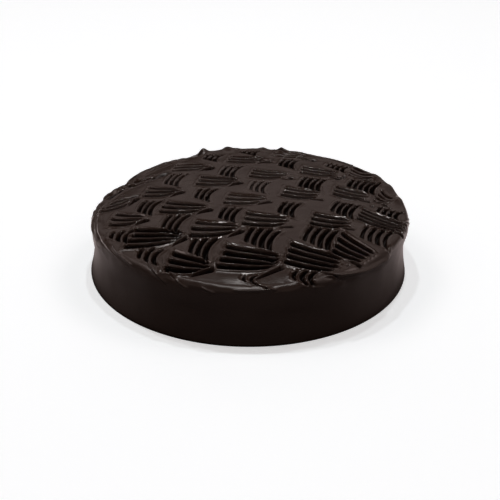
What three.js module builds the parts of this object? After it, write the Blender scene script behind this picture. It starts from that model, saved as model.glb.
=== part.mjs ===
// A whole round torte under one coat of chocolate icing: a soft lip leans out over a waisted side,
// and comb strokes laid crosswise in a bowed lattice are pressed into the gently domed top.
// One closed solid in millimetres, +Z up, standing on its flat bottom.
import * as THREE from "three";

const { lerp, smoothstep, degToRad, euclideanModulo } = THREE.MathUtils;

// ---- Body ----
const FOOT_RADIUS = 112.5; // where the icing meets the surface it stands on
const WAIST_RADIUS = 109.3; // narrowest ring of the side
const WAIST_HEIGHT = 19;
const LIP_RADIUS = 110.8; // widest ring of the lip
const LIP_HEIGHT = 37.5;
const LIP_LEAN = 0.7; // the lip stands this much further to +X than the foot does
const LIP_DROOP = 1.6; // its -X side hangs this much lower
const LIP_NOD = 1.2; // and its -Y side this much lower
const WAIST_LEAN = 0.42; // what the waist follows of that lean
const RIM_WIDTH = 4.8; // from the lip in to the edge of the combed top
const DOME_HEIGHT = 48.5; // the middle of the top
const DOME_RADIUS = 940; // sphere the top belongs to
const SLUMP_AZIMUTH = 152; // degrees from +X, where the shoulder slumps
const SLUMP_START = 70; // how far out it starts
const SLUMP = 0.0062; // and how fast it falls, 1/mm
const FRONT_START = 88; // how far to the front the land starts to run down to the lip
const FRONT_FALL = 0.006; // and how fast, 1/mm

// ---- Comb strokes ----
const SHORT_PITCH = 4.6; // between neighbouring grooves of a short stroke
const GROOVE_DEPTH = 2.8;
const RIDGE_HEIGHT = 0.3; // of the fins between grooves, over the land
const WELT_HEIGHT = 0.7; // of the icing pushed up along the outer sides
const WELT_WIDTH = 1.3;
const END_ROUNDING = 0.32; // share of its width a stroke has lost at its very ends
const STROKE_GAP = 0.45; // least land kept between a stroke and the rim, or the next stroke
const SMALLEST_STROKE = 0.5; // a stroke with no room for this share of its size is left out
const SHRINK_STEP = 0.03; // share of its size taken off at each try
const START_LINE = 76; // degrees in plan of the line on which the grooves of a long stroke start
const LEVEL_SWING = -3.5; // degrees that a long stroke is turned by where the hand was steady
const RISE_SHARE = 0.3; // of the way along a stroke, in which its relief comes up
const RUN_OUT_SHARE = 0.4; // and in which it runs out again

// ---- Mesh fineness ----
const TURN_STEPS = 144;
const RIM_STEPS = 3;
const STATIONS = [-1, -0.84, -0.5, -0.1, 0.35, 0.78, 1]; // along a stroke, -1 to 1
const TURN_ROUNDS = 60; // most times that the diagonals of the land are gone through

const xyz = [];
const faces = [];

function addPoint(x, y, z) {
  xyz.push(x, y, z);
  return xyz.length / 3 - 1;
}

// Two faces for the cell a-b-c-d, counter-clockwise seen from outside.
function addCell(a, b, c, d) {
  faces.push([a, b, c], [a, c, d]);
}

// A hump of height 1 at one azimuth, `width` millimetres wide at the rim.
function hump(turn, azimuth, width) {
  const away = euclideanModulo(turn - degToRad(azimuth) + Math.PI, 2 * Math.PI) - Math.PI;
  return Math.exp(-(((away * LIP_RADIUS) / width) ** 2));
}

// Slow hand-made unevenness round the cake, about -1 to 1.
function unevenness(turn) {
  return 0.45 * Math.sin(3 * turn + 0.6) + 0.35 * Math.sin(5 * turn + 2.1) + 0.3 * Math.sin(8 * turn + 4.4);
}

// Height of the land: part of a sphere, that slumps over the shoulder at the back on the -X side
// and runs down to the front lip.
function domeHeight(x, y) {
  const slump = degToRad(SLUMP_AZIMUTH);
  const slumped = Math.max(0, x * Math.cos(slump) + y * Math.sin(slump) - SLUMP_START);
  const front = Math.max(0, -y - FRONT_START);
  return DOME_HEIGHT - (x * x + y * y) / (2 * DOME_RADIUS) - SLUMP * slumped ** 2 - FRONT_FALL * front ** 2;
}

// Peaks the palette knife left standing on the rim: azimuth in degrees, height and width in mm.
const PEAKS = [
  [128, 2.0, 14],
  [117, -1.6, 6],
  [110.5, 3.4, 3.4],
  [99, 1.8, 4.5],
  [84, 1.6, 4],
  [76, 2.6, 3.5],
  [27, 2.8, 11],
  [17, 3.4, 8],
  [6, 2.2, 7],
];

function rimLift(turn) {
  let lift = 0.5 * unevenness(2 * turn + 1);
  for (const [azimuth, height, width] of PEAKS) lift += height * hump(turn, azimuth, width);
  return lift;
}

function lipRadius(turn) {
  const flattened = -4 * hump(turn, 156, 24) - 2.5 * hump(turn, 116, 22);
  return LIP_RADIUS + LIP_LEAN * Math.cos(turn) + flattened + 0.5 * unevenness(turn);
}

function lipHeight(turn) {
  const lean = LIP_DROOP * Math.cos(turn) + LIP_NOD * Math.sin(turn);
  return LIP_HEIGHT + lean + 0.8 * unevenness(turn + 1.3);
}

function landRadius(turn) {
  return lipRadius(turn) - RIM_WIDTH;
}

// One upright section through the side at azimuth `turn`, as [radius, height] from foot to land.
function sideSection(turn) {
  const lip = lipRadius(turn);
  const lipUp = lipHeight(turn);
  const waist = WAIST_RADIUS + WAIST_LEAN * Math.cos(turn) + 0.3 * unevenness(turn + 2);
  const section = [];
  for (const rise of [0, 0.14, 0.36, 0.66, 1])
    section.push([lerp(FOOT_RADIUS, waist, Math.sin((rise * Math.PI) / 2)), rise * WAIST_HEIGHT]);
  for (const rise of [0.34, 0.62, 0.85])
    section.push([lerp(waist, lip, smoothstep(rise, 0, 1)), lerp(WAIST_HEIGHT, lipUp, rise)]);
  const land = landRadius(turn);
  const edgeUp = domeHeight(land * Math.cos(turn), land * Math.sin(turn)) + rimLift(turn);
  for (let step = 0; step <= RIM_STEPS; step++) {
    const over = ((step / RIM_STEPS) * Math.PI) / 2;
    section.push([lerp(land, lip, Math.cos(over)), lerp(lipUp, edgeUp, Math.sin(over))]);
  }
  return section;
}

// Rings of the side from the foot up; the last ring is the edge of the land.
function addSide() {
  const rings = [];
  for (let step = 0; step < TURN_STEPS; step++) {
    const turn = (step / TURN_STEPS) * 2 * Math.PI;
    sideSection(turn).forEach(([radius, height], row) => {
      (rings[row] ??= []).push(addPoint(radius * Math.cos(turn), radius * Math.sin(turn), height));
    });
  }
  for (let row = 1; row < rings.length; row++)
    for (let step = 0; step < TURN_STEPS; step++) {
      const next = (step + 1) % TURN_STEPS;
      addCell(rings[row - 1][step], rings[row - 1][next], rings[row][next], rings[row][step]);
    }
  return rings;
}

function addBottom(foot) {
  const middle = addPoint(0, 0, 0);
  foot.forEach((point, step) => faces.push([middle, foot[(step + 1) % foot.length], point]));
}

// Centre of a stroke in the bowed lattice: the strokes laid across sit on its nodes, and a short
// stroke hangs below each. The pitch widens toward the front and the rows bend down to the right.
function longCentre(column, row) {
  return [
    -1.4 + 38.3 * column + 20.6 * row - 0.9 * column ** 2 - 1.15 * column * row - 0.7 * row ** 2,
    0.5 + 11.3 * column - 33.4 * row - 0.9 * column ** 2 - 2.95 * column * row - row ** 2,
  ];
}

function shortCentre(column, row) {
  const [x, y] = longCentre(column, row);
  return [x - 9.3 + 0.6 * column ** 2, y - 22 - 0.5 * column ** 2];
}

// Where the hand strayed from the lattice: "column,row" of the stroke, then mm to +X, mm to +Y,
// degrees counter-clockwise, a factor on its length and one on its depth.
const LONG_STRAYED = {
  "0,0": [0, -1, 3, 1, 0.8],
  "0,1": [-6, 2, 0, 1, 1.1],
  "-1,0": [-3, -1, -2, 1.1, 1.1],
  "-1,1": [-2, -1, 3, 1, 1.05],
  "1,1": [1.5, -4, 5, 0.9, 0.9],
  "0,2": [4, -9, 1, 1, 1.1],
  "-1,2": [0, -4.5, 2, 1.03, 1.15],
  "1,2": [-5.5, 0, -17, 0.75, 1.1],
  "1,-2": [-3, 0, 0, 1, 0.85],
  "0,-2": [0, 0, 2, 0.95, 0.8],
  "2,-2": [0, 0, -4, 0.9, 0.7],
  "1,-1": [0, -1, 0, 0.95, 0.8],
  "0,-1": [1, -1, 1, 1, 1],
  "2,-1": [0, 0, 0, 1, 0.95],
  "1,0": [1.5, 0, 0, 0.93, 0.95],
  "2,0": [2, -4, 0, 0.88, 1.1],
  "2,1": [0, -1.5, -4, 1.1, 1],
  "-1,-1": [2, -2, 2, 0.87, 1],
  "-2,2": [2, -1.5, 0, 0.85, 1.1],
  "-2,1": [-1, 3, 1, 1.08, 1.15],
  "-2,0": [0, 0, 0, 0.8, 0.95],
  "3,0": [-9, -15, -10, 0.5, 0.8],
  "3,-1": [-2, -13, -12, 0.8, 0.8],
  "-2,-1": [14, 1, 30, 0.75, 1.1],
  "-1,-2": [4, 0, 24, 0.85, 0.8],
};
const SHORT_STRAYED = {
  "1,-1": [0, -1, 3, 1.05, 0.7],
  "0,-1": [0.5, -1.5, 1, 1.05, 0.9],
  "-1,-1": [2, -3.5, 0, 1.1, 1.05],
  "0,-2": [0, -2.5, 0, 1.05, 0.8],
  "1,-2": [0, -4, 1, 1.05, 0.95],
  "-1,0": [0.5, 1, -1, 1.1, 1.1],
  "0,1": [-1, 1.5, 0, 1.08, 1.1],
  "1,1": [0.5, -2.3, 0, 1.12, 1.1],
  "2,0": [1.5, -5, 0, 1.15, 1.1],
  "2,-1": [0, -2.5, 2, 1.15, 1.15],
  "2,-2": [4.5, 2, 3, 1.1, 1.1],
  "3,-1": [0, -7.5, 0, 0.95, 1.1],
  "1,0": [0, -2, 0, 1.1, 1.1],
  "2,1": [-2.5, 0, 3, 1, 0.75],
  "-1,1": [-2, -0.5, 2, 1.08, 1.1],
  "-2,1": [3, 4.5, 3, 0.7, 1.1],
  "-2,0": [4, 2, 4, 0.65, 1],
  "3,-2": [2.7, -11, -9, 0.55, 0.9],
  "3,0": [-4.3, -9.5, -3, 0.7, 1.1],
  "2,-3": [2, -8, 0, 0.5, 1],
  "1,-3": [7, -3, -3, 0.75, 1],
  "0,2": [7, -6, 12, 0.62, 0.9],
  "-1,2": [10, -2, 10, 0.42, 0.7],
};
const STRAIGHT = [0, 0, 0, 1, 1];
const LONG_GROOVES = { "-1,1": 3, "-2,2": 3 }; // strokes with another number of grooves
const SHORT_GROOVES = { "3,-1": 5, "-1,2": 2 };
const SHORT_WIPED = "-1,-2"; // the short stroke that the knife wiped away again

// A stroke laid across: level at -X and swinging down by the square of x at +X. At the front it is
// wider, deeper and swings down more, and toward -X it tapers more.
function longStroke(column, row) {
  const node = `${column},${row}`;
  const [strayX, strayY, strayTurn, longer, deeper] = LONG_STRAYED[node] ?? STRAIGHT;
  const [x, y] = longCentre(column, row);
  const front = smoothstep(-y, 10, 80);
  const left = smoothstep(-x, -35, 30);
  const swing = LEVEL_SWING - 0.0028 * Math.max(0, x) ** 2 - 13 * smoothstep(-y, 50, 85);
  const angle = degToRad(swing + strayTurn);
  const halfWidth = lerp(8.6, 12.6, front) - 2.4 * front * smoothstep(-x, 20, 50) * smoothstep(-y, 60, 85);
  return {
    x: x + strayX,
    y: y + strayY,
    angle,
    halfLength: longer * lerp(14.8, 18, front * smoothstep(x, -80, 0)),
    halfWidth,
    grooves: LONG_GROOVES[node] ?? (halfWidth > 9.9 || x > 82 ? 4 : 3),
    bow: lerp(2.5, 1.4, front),
    startLean: halfWidth / Math.tan(degToRad(START_LINE) - angle),
    endLean: 0,
    taper: lerp(0.12, 0.34, left),
    depth: GROOVE_DEPTH * deeper * lerp(0.95, 1.4, front),
  };
}

// A short stroke pulled toward the front: it leans right at its far end and is bent like a bracket.
function shortStroke(column, row) {
  const node = `${column},${row}`;
  const [strayX, strayY, strayTurn, longer, deeper] = SHORT_STRAYED[node] ?? STRAIGHT;
  const [x, y] = shortCentre(column, row);
  const front = smoothstep(-y, 10, 55);
  const grooves = SHORT_GROOVES[node] ?? ((y < -42 && x > -20) || x > 38 ? 4 : 3);
  return {
    x: x + strayX,
    y: y + strayY,
    angle: degToRad(74.5 - 0.07 * Math.max(0, x) + strayTurn),
    halfLength: longer * lerp(8.9, 11.6, front),
    halfWidth: (grooves * SHORT_PITCH * lerp(0.95, 1.16, front)) / 2,
    grooves,
    bow: -2.3,
    startLean: lerp(2.6, 4, front),
    endLean: -1,
    taper: -lerp(0.12, 0.03, smoothstep(x, -40, 40)),
    depth: GROOVE_DEPTH * deeper * lerp(0.9, 1.15, front),
  };
}

// Plan position of a point of a stroke: `along` and `across` both run from -1 to 1.
function strokePoint(stroke, along, across) {
  const narrowing = 1 - stroke.taper * along - END_ROUNDING * along ** 6;
  const lean = lerp(stroke.startLean, stroke.endLean, (along + 1) / 2);
  const u = along * stroke.halfLength + across * lean;
  const v = across * stroke.halfWidth * narrowing + stroke.bow * (along * along - 0.33);
  const cos = Math.cos(stroke.angle);
  const sin = Math.sin(stroke.angle);
  return [stroke.x + u * cos - v * sin, stroke.y + u * sin + v * cos];
}

// Height of the relief over the land along the section line of a stroke: welts outside, grooves
// and fins by turns between them. Returns [across, height] pairs from side to side.
function combSection(stroke) {
  const welt = WELT_WIDTH / stroke.halfWidth;
  const section = [
    [-1, 0],
    [-1 + welt, WELT_HEIGHT],
  ];
  const steps = 2 * stroke.grooves;
  for (let step = 1; step < steps; step++) {
    const across = lerp(-1 + welt, 1 - welt, step / steps);
    section.push([across, step % 2 ? -stroke.depth : RIDGE_HEIGHT]);
  }
  section.push([1 - welt, WELT_HEIGHT], [1, 0]);
  return section;
}

// How much of its full relief a stroke has along its length: it starts steeply and runs out gently.
function reach(along) {
  const runOut = smoothstep(1 - along, 0, RUN_OUT_SHARE);
  return smoothstep(1 + along, 0, RISE_SHARE) * lerp(1, runOut, 0.9);
}

// Adds the grid of one stroke and returns its outline, counter-clockwise.
function addStroke(stroke) {
  const section = combSection(stroke);
  const grid = STATIONS.map((along) =>
    section.map(([across, relief]) => {
      const [x, y] = strokePoint(stroke, along, across);
      return addPoint(x, y, domeHeight(x, y) + relief * reach(along));
    }),
  );
  const ends = grid.length - 1;
  const sides = section.length - 1;
  for (let i = 0; i < ends; i++)
    for (let j = 0; j < sides; j++)
      addCell(grid[i][j], grid[i + 1][j], grid[i + 1][j + 1], grid[i][j + 1]);
  return [
    ...grid.slice(0, ends).map((line) => line[0]),
    ...grid[ends].slice(0, sides),
    ...grid.slice(1).map((line) => line[sides]).reverse(),
    ...grid[0].slice(1).reverse(),
  ];
}

// Outline of a stroke in plan, counter-clockwise, `margin` mm outside its edge.
function outline(stroke, margin = 0) {
  const wider = {
    ...stroke,
    halfLength: stroke.halfLength + margin,
    halfWidth: stroke.halfWidth + margin,
  };
  const side = (across) => STATIONS.map((along) => strokePoint(wider, along, across));
  return [...side(-1), ...side(1).reverse()];
}

// Whether two closed outlines cross or one holds a corner of the other.
function overlap(one, other) {
  const inside = ([x, y], loop) =>
    loop.reduce((odd, [bx, by], i) => {
      const [ax, ay] = loop.at(i - 1);
      return ay > y !== by > y && x < ax + ((y - ay) / (by - ay)) * (bx - ax) ? !odd : odd;
    }, false);
  return one.some((point) => inside(point, other)) || other.some((point) => inside(point, one));
}

// A stroke is made smaller until it lies on the land and clear of those already laid. One that
// finds no room gives null.
function fitted(stroke, laid) {
  for (let size = 1; size >= SMALLEST_STROKE; size -= SHRINK_STEP) {
    const smaller = {
      ...stroke,
      halfLength: stroke.halfLength * size,
      halfWidth: stroke.halfWidth * size,
      startLean: stroke.startLean * size,
      bow: stroke.bow * size,
      depth: stroke.depth * Math.sqrt(size),
    };
    const wide = outline(smaller, STROKE_GAP);
    const onLand = wide.every(([x, y]) => Math.hypot(x, y) < landRadius(Math.atan2(y, x)));
    if (onLand && !laid.some((other) => overlap(wide, outline(other)))) return smaller;
  }
  return null;
}

function allStrokes() {
  const laid = [];
  for (const makeStroke of [longStroke, shortStroke])
    for (let column = -3; column <= 3; column++)
      for (let row = -3; row <= 3; row++) {
        const wiped = makeStroke === shortStroke && `${column},${row}` === SHORT_WIPED;
        const stroke = wiped ? null : fitted(makeStroke(column, row), laid);
        if (stroke) laid.push(stroke);
      }
  return laid;
}

// The land between the rim and the strokes: triangulated with the strokes as holes, then evened
// out by turning every diagonal whose two triangles see it under more than 180 degrees.
function addLand(edge, outlines) {
  const plan = (loop) => loop.map((i) => new THREE.Vector2(xyz[3 * i], xyz[3 * i + 1]));
  const order = [edge, ...outlines].flat();
  const land = THREE.ShapeUtils.triangulateShape(plan(edge), outlines.map(plan)).map((face) =>
    face.map((i) => order[i]),
  );
  turnDiagonals(land);
  faces.push(...land);
}

// Angle at corner c of a triangle over the side a-b, seen in plan.
function angleOver(a, b, c) {
  const ax = xyz[3 * a] - xyz[3 * c];
  const ay = xyz[3 * a + 1] - xyz[3 * c + 1];
  const bx = xyz[3 * b] - xyz[3 * c];
  const by = xyz[3 * b + 1] - xyz[3 * c + 1];
  return Math.atan2(Math.abs(ax * by - ay * bx), ax * bx + ay * by);
}

function turnDiagonals(triangles) {
  for (let turned = true, round = 0; turned && round < TURN_ROUNDS; round++) {
    turned = false;
    const owner = new Map();
    triangles.forEach((face, f) =>
      face.forEach((a, k) => owner.set(`${a},${face[(k + 1) % 3]}`, [f, face[(k + 2) % 3]])),
    );
    const touched = new Set();
    for (const [side, [f, c]] of owner) {
      const [a, b] = side.split(",").map(Number);
      const other = owner.get(`${b},${a}`);
      if (!other || touched.has(f) || touched.has(other[0])) continue;
      const [g, d] = other;
      if (angleOver(a, b, c) + angleOver(a, b, d) > Math.PI + 1e-6) {
        triangles[f] = [c, a, d];
        triangles[g] = [d, b, c];
        touched.add(f).add(g);
        turned = true;
      }
    }
  }
}

const rings = addSide();
addBottom(rings[0]);
addLand(rings.at(-1), allStrokes().map(addStroke));

const geometry = new THREE.BufferGeometry();
geometry.setAttribute("position", new THREE.Float32BufferAttribute(xyz, 3));
geometry.setIndex(faces.flat());
geometry.computeBoundingBox();
const box = geometry.boundingBox;
geometry.translate(-(box.min.x + box.max.x) / 2, -(box.min.y + box.max.y) / 2, 0);
geometry.computeVertexNormals();

const icedCake = new THREE.Mesh(
  geometry,
  new THREE.MeshStandardMaterial({ color: 0x2a1a15, roughness: 0.35 }),
);
icedCake.name = "iced_cake";

const torte = new THREE.Group();
torte.name = "sachertorte";
torte.add(icedCake);

export default torte;
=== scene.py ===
"""Sachertorte cake under combed chocolate icing, laid out as a Blender add-on and run as a script."""

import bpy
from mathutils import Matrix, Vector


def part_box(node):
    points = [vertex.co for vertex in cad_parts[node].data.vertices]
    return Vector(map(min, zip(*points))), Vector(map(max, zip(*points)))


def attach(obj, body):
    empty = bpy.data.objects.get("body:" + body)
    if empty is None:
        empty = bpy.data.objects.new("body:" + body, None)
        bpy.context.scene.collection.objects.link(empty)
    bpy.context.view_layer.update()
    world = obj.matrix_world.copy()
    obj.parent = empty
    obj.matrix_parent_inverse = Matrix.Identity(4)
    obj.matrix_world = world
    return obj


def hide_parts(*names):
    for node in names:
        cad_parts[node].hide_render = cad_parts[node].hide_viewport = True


bl_info = {
    "name": "Combed chocolate torte",
    "version": (1, 0, 0),
    "blender": (4, 5, 0),
    "location": "3D View > Sidebar > Torte",
    "description": "Ices a round torte and combs its top crosswise",
    "category": "Add Mesh",
}

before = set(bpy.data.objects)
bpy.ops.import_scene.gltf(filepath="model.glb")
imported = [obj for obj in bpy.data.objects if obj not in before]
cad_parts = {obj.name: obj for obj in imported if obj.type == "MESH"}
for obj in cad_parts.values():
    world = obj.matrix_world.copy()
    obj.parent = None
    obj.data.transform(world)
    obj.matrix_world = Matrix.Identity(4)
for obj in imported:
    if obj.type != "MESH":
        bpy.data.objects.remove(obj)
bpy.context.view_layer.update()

import math
from collections import namedtuple

import bpy
import numpy as np
from bpy.props import FloatProperty, FloatVectorProperty, PointerProperty, StringProperty
from mathutils import Matrix, Vector

foot_lo, foot_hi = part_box("iced_cake")

MM = 0.001
TAU = 2 * np.pi

# The top is a square grid drawn out to a disc, with this many cells a side. The side hangs from its
# edge in rows: round the rim to the lip, in to the waist and out to the foot.
TOP_CELLS = 640
RIM_ROWS = 22
LIP_ROWS = 8
WAIST_ROWS = 6
# Decimate then thins what lies above this height, until this share of all the faces is left.
SPARED_HEIGHT = 2.5 * MM
KEPT_SHARE = 0.19


# ---- Settings a user would change ----


class TorteShape(bpy.types.PropertyGroup):
    foot_radius: FloatProperty(
        name="Foot radius",
        description="Where the icing meets the surface it stands on",
        default=(foot_hi[0] - foot_lo[0]) / 2,
        unit="LENGTH",
    )
    waist_radius: FloatProperty(
        name="Waist radius", description="Narrowest ring of the side", default=0.1093, unit="LENGTH"
    )
    lip_radius: FloatProperty(
        name="Lip radius", description="Widest ring of the lip", default=0.1108, unit="LENGTH"
    )
    lip_height: FloatProperty(
        name="Lip height", description="Height of that ring", default=0.0375, unit="LENGTH"
    )
    rim_width: FloatProperty(
        name="Rim width",
        description="From the lip in to the edge of the combed top",
        default=0.0048,
        unit="LENGTH",
    )
    dome_height: FloatProperty(
        name="Dome height", description="Height of the middle of the top", default=0.0485, unit="LENGTH"
    )


class CombSettings(bpy.types.PropertyGroup):
    groove_depth: FloatProperty(
        name="Groove depth", description="How deep the comb digs", default=0.0036, unit="LENGTH"
    )
    short_pitch: FloatProperty(
        name="Short pitch", description="Between grooves of a short stroke", default=0.0046, unit="LENGTH"
    )


class IcingLook(bpy.types.PropertyGroup):
    cocoa: StringProperty(name="Cocoa", description="Icing colour, sRGB hex", default="#31231B")
    roughness: FloatProperty(
        name="Roughness", description="Of the smoothed icing", default=0.3, min=0, max=1, subtype="FACTOR"
    )


class StageSettings(bpy.types.PropertyGroup):
    floor_colour: FloatVectorProperty(
        name="Floor", description="Pale floor", default=(0.8, 0.87, 0.9), subtype="COLOR", size=3
    )
    glow: FloatProperty(name="Glow", description="Light through the floor", default=0.5, min=0)
    sweep: FloatProperty(
        name="Sweep", description="Light off the floor beside the shoulders", default=1.6, min=0
    )
    room: FloatProperty(name="Room", description="Light from all round", default=0.015, min=0)
    back_card: FloatProperty(name="Back card", description="Brightness behind", default=0.42, min=0)
    low_strips: FloatProperty(
        name="Low strips", description="Brightness low at the shoulders", default=0.9, min=0
    )
    high_boxes: FloatProperty(name="High boxes", description="Brightness high behind", default=3.0, min=0)
    side_boxes: FloatProperty(name="Side boxes", description="Brightness at the sides", default=0.8, min=0)
    front_card: FloatProperty(name="Front card", description="Brightness in front", default=0.3, min=0)
    sparks: FloatProperty(
        name="Sparks", description="Small lamps for the glints", default=5, min=0, unit="POWER"
    )


# ---- Body of the cake, in millimetres ----


# Radius of the ring along which a width on the rim is measured.
HUMP_RING = 110.8
# Slow unevenness round the cake: height, waves in a turn and phase in radians.
SLOW_WAVES = ((0.45, 3, 0.6), (0.35, 5, 2.1), (0.3, 8, 4.4))


def hump(turn, azimuth, width):
    """Bell of height 1 round the cake: e to the minus square of the arc from its azimuth over its width."""
    away = (turn - np.radians(azimuth) + np.pi) % TAU - np.pi
    return np.exp(-((away * HUMP_RING / width) ** 2))


def unevenness(turn):
    """Slow wander of the hand round the cake: the sum of the sines in SLOW_WAVES."""
    return sum(height * np.sin(waves * turn + phase) for height, waves, phase in SLOW_WAVES)


# Peaks that the palette knife left standing on the rim: azimuth in degrees, height and width.
PEAKS = (
    (128, 2.0, 14),
    (117, -1.6, 6),
    (110.5, 3.4, 3.4),
    (99, 1.8, 4.5),
    (84, 1.6, 4),
    (76, 2.6, 3.5),
    (27, 2.8, 11),
    (17, 3.4, 8),
    (6, 2.2, 7),
)
# Where the lip is flattened: azimuth in degrees, depth and width.
FLATS = ((156, 4, 24), (116, 2.5, 22))
# How far the lip and the waist lie over to +X, and how much higher the lip is at +X and at +Y.
LIP_LEAN, WAIST_LEAN = 0.7, 0.42
LIP_TILT_X, LIP_TILT_Y = 1.6, 1.2
WAIST_HEIGHT = 19.0
# The land is the cap of a sphere. It falls away past a line across the back on the -X side, where the
# icing slumped, and past one along the front lip: distance of the line, and fall for each mm squared.
DOME_RADIUS = 940
SLUMP_AZIMUTH, SLUMP_START, SLUMP_FALL = math.radians(152), 70, 0.0062
FRONT_START, FRONT_FALL = 88, 0.006


def rim_lift(turn):
    """Height added along the rim: slow wander plus a bell for each peak."""
    return 0.5 * unevenness(2 * turn + 1) + sum(h * hump(turn, a, w) for a, h, w in PEAKS)


def lip_radius(turn, shape):
    """Radius of the widest ring: its setting, lying over to +X, less the flats, with slow wander."""
    flattened = sum(depth * hump(turn, azimuth, width) for azimuth, depth, width in FLATS)
    return shape.lip_radius / MM + LIP_LEAN * np.cos(turn) - flattened + 0.5 * unevenness(turn)


def dome_height(x, y, shape):
    """Land height: a sphere's cap that falls by the square of the distance past two lines."""
    slumped = np.maximum(0, x * math.cos(SLUMP_AZIMUTH) + y * math.sin(SLUMP_AZIMUTH) - SLUMP_START)
    front = np.maximum(0, -y - FRONT_START)
    dome = shape.dome_height / MM - (x * x + y * y) / (2 * DOME_RADIUS)
    return dome - SLUMP_FALL * slumped**2 - FRONT_FALL * front**2


def smoothstep(v, lo, hi):
    """0 below lo, 1 above hi, and 3t squared minus 2t cubed between."""
    t = np.clip((v - lo) / (hi - lo), 0, 1)
    return t * t * (3 - 2 * t)


def mix(a, b, t):
    """Straight blend from a to b."""
    return a + (b - a) * t


# The random field repeats after this many steps of its lattice, and the shift keeps the lattice's nodes
# off the middle of the cake.
FIELD_STEPS = 128
FIELD_SHIFT = (61.3, 57.7)
# Radius of the ring on which the field is read for the side.
FIELD_RING = 110


def wander(x, y, size, seed):
    """Smooth random field of -1 to 1: seeded values on a square lattice `size` apart, with a smoothstep
    between them.
    """
    table = np.random.default_rng(seed).uniform(-1, 1, (FIELD_STEPS, FIELD_STEPS))
    step_x, step_y = x / size + FIELD_SHIFT[0], y / size + FIELD_SHIFT[1]
    low_x, low_y = np.floor(step_x).astype(int), np.floor(step_y).astype(int)
    share_x, share_y = smoothstep(step_x - low_x, 0, 1), smoothstep(step_y - low_y, 0, 1)

    def at(right, up):
        return table[(low_x + right) % FIELD_STEPS, (low_y + up) % FIELD_STEPS]

    return mix(mix(at(0, 0), at(1, 0), share_x), mix(at(0, 1), at(1, 1), share_x), share_y)


def ring_wander(turn, out, size, seed):
    """The same field round the cake, on a ring `out` wider than FIELD_RING, so it closes on itself."""
    return wander((FIELD_RING + out) * np.cos(turn), (FIELD_RING + out) * np.sin(turn), size, seed)


# ---- Comb strokes ----

# A stroke has its centre in mm, its angle in radians and half its length and width in mm. Turned to its
# angle, it runs from u = -length to +length, and `across` runs from 1 on its left to -1 on its right.
# The bow bends it, taper and pinch narrow it, its ends lean, rise and fade over some mm, and its last
# groove may stop short. `hollow` is the power of a tooth's flank, `strength` scales the fins, `lips` the
# welts and beads, and `tail` the torn end.
Stroke = namedtuple(
    "Stroke",
    "x y angle length width grooves bow taper pinch start_lean end_lean start_rise end_fade "
    "short_last depth hollow strength lips tail tail_lift tail_reach seed",
)

# Where the hand strayed from the lattice: mm to +X, mm to +Y, degrees counter-clockwise, factor on
# the length and factor on the depth.
LONG_STRAYED = {
    (0, 0): (0, -1, 3, 1, 0.8),
    (0, 1): (-6, 2, 0, 1, 1.1),
    (-1, 0): (-3, -1, -2, 1.1, 1.1),
    (-1, 1): (-2, -1, 3, 1, 1.05),
    (1, 1): (1.5, -4, 5, 0.9, 1.15),
    (0, 2): (4, -9, -4, 1, 1.1),
    (-1, 2): (1.5, -4.5, 6, 1.05, 1.15),
    (1, 2): (-5.5, 0, -17, 0.75, 1.1),
    (1, -2): (5, -1, 0, 1.05, 1),
    (0, -2): (2, 0, 2, 0.95, 0.9),
    (2, -2): (0, 0, -4, 0.9, 0.7),
    (1, -1): (0, -1, 0, 0.95, 1),
    (0, -1): (1, -1, 1, 1, 1.15),
    (2, -1): (1, -3, 0, 0.97, 1.1),
    (1, 0): (1.5, 0, 0, 0.93, 1.2),
    (2, 0): (2, -4, 0, 0.88, 1.25),
    (2, 1): (2, -4.5, -4, 1.2, 1.1),
    (-1, -1): (2, -2, 2, 0.87, 1),
    (-2, 2): (2, -1.5, 0, 0.85, 1.1),
    (-2, 1): (0, 1.5, 5, 1.2, 1.15),
    (-2, 0): (0, 0, 0, 0.8, 0.95),
    (3, 0): (-9, -15, -10, 0.5, 0.8),
    (3, -1): (-2, -13, -12, 0.8, 0.8),
    (-2, -1): (14, 1, 30, 0.75, 1.1),
    (-1, -2): (4, 0, 24, 0.85, 0.8),
}
SHORT_STRAYED = {
    (0, 0): (-2.5, -1, 0, 1.05, 1),
    (1, -1): (0, -1, 3, 1.05, 0.7),
    (0, -1): (0.5, -1.5, 1, 1.05, 0.9),
    (-1, -1): (2, -3.5, 0, 1.1, 1.05),
    (0, -2): (0, -2.5, 0, 1.2, 0.8),
    (1, -2): (0, -4, 1, 1.25, 0.95),
    (-1, 0): (-1, 1, -1, 1.1, 1.1),
    (0, 1): (-1, 1.5, 0, 1.08, 1.1),
    (1, 1): (0.5, -2.3, 0, 1.12, 1.1),
    (2, 0): (1.5, -5, 0, 1.15, 1.1),
    (2, -1): (0, -2.5, 2, 1.28, 1.15),
    (2, -2): (4.5, 2, 3, 1.1, 1.1),
    (3, -1): (0, -7.5, 0, 1.1, 1.1),
    (1, 0): (0, -2, 0, 1.1, 1.1),
    (2, 1): (2, 0, 3, 1, 0.8),
    (-1, 1): (-2, -0.5, 2, 1.08, 1.1),
    (-2, 1): (3, 4.5, 3, 0.7, 1.1),
    (-2, 0): (4, 2, 4, 0.65, 1),
    (3, -2): (2.7, -11, -9, 0.65, 1),
    (3, 0): (-4.3, -9.5, -3, 0.7, 1.1),
    (2, -3): (-3, -8, 0, 0.6, 1.2),
    (1, -3): (8.5, -3, -3, 0.9, 1.1),
    (0, 2): (7, -6, 12, 0.62, 0.9),
    (-1, 2): (10, -2, 10, 0.42, 0.7),
}
# Strokes with another number of grooves than their neighbours.
SHORT_GROOVES = {(3, -1): 5, (0, 2): 3, (-1, 2): 2}
LONG_GROOVES = {(-1, 1): 3, (-2, 2): 3}
# Strokes whose torn tail is longer by this factor.
LONG_TAILS = {(-1, 2): 1.8, (-2, 2): 1.2}
# A stroke that didn't stray.
STRAIGHT = (0, 0, 0, 1, 1)
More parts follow.
